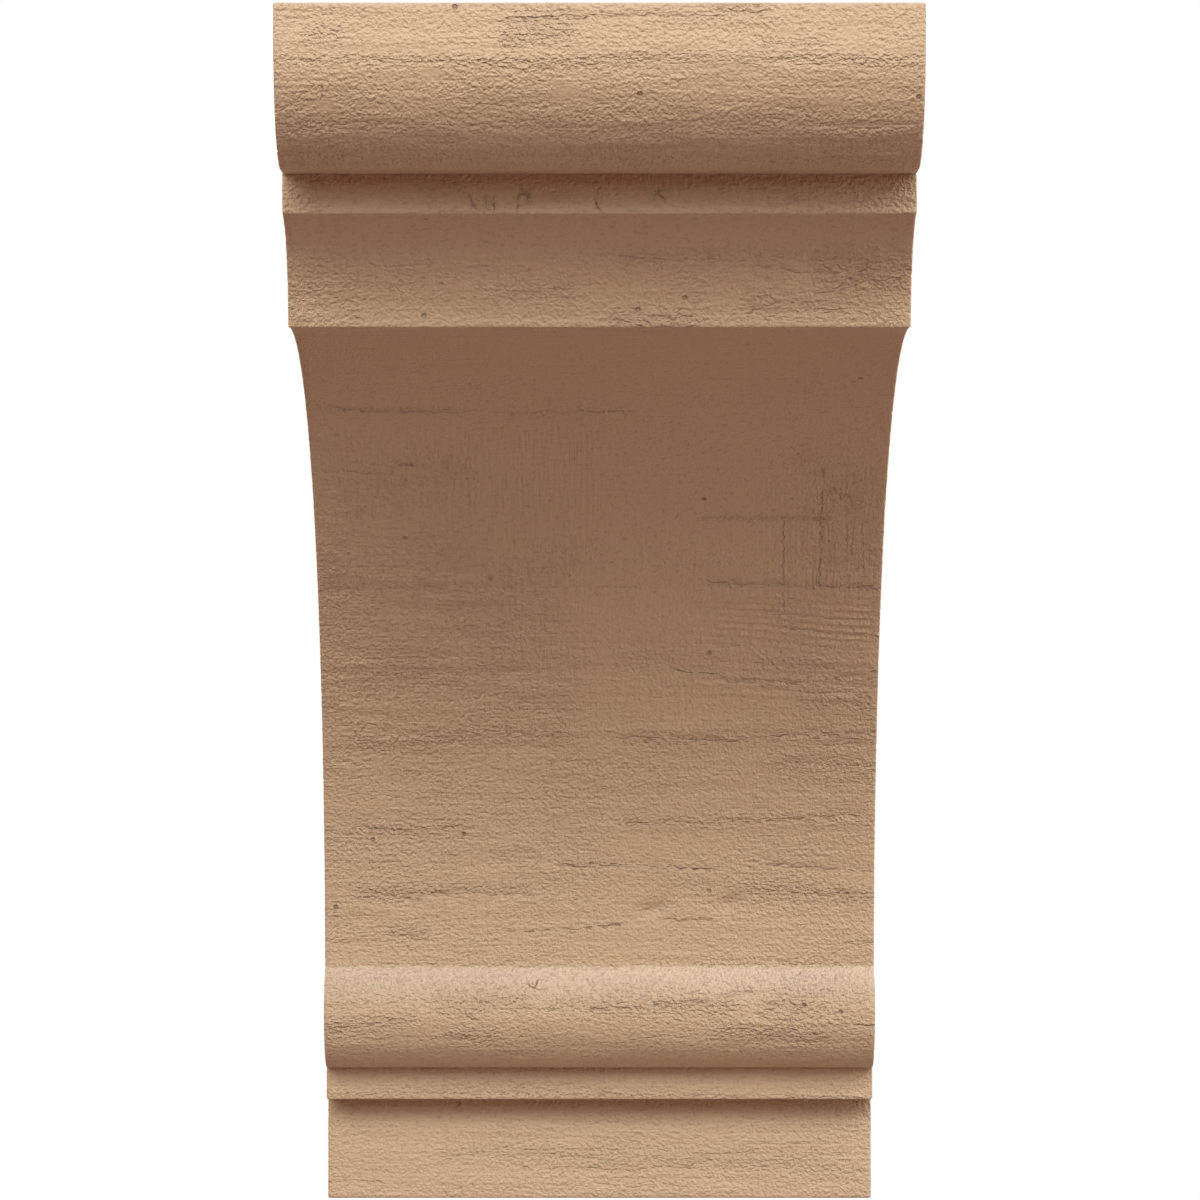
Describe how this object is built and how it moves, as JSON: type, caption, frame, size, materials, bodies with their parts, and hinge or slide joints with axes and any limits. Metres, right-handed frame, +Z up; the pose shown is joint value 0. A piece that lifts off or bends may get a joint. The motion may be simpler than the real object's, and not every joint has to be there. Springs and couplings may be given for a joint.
{
  "type": "urethane corbel",
  "caption": "Moulded corbel with a rough-sawn timber look: a roll, fillet, cavetto, long cove, bead and flat foot band, on a flat back.",
  "frame": {"origin": "middle of the flat back face, on the wall plane", "axes": "+X across the width, +Y into the wall, +Z up; the corbel stands out from the wall towards -Y"},
  "size_m": [0.1524, 0.3048, 0.3048],
  "materials": {
    "tan_primer": "matt tan primer over moulded urethane foam with a rough-sawn timber grain"
  },
  "bodies": {
    "root": {"corbel": "tan_primer"}
  },
  "joints": []
}
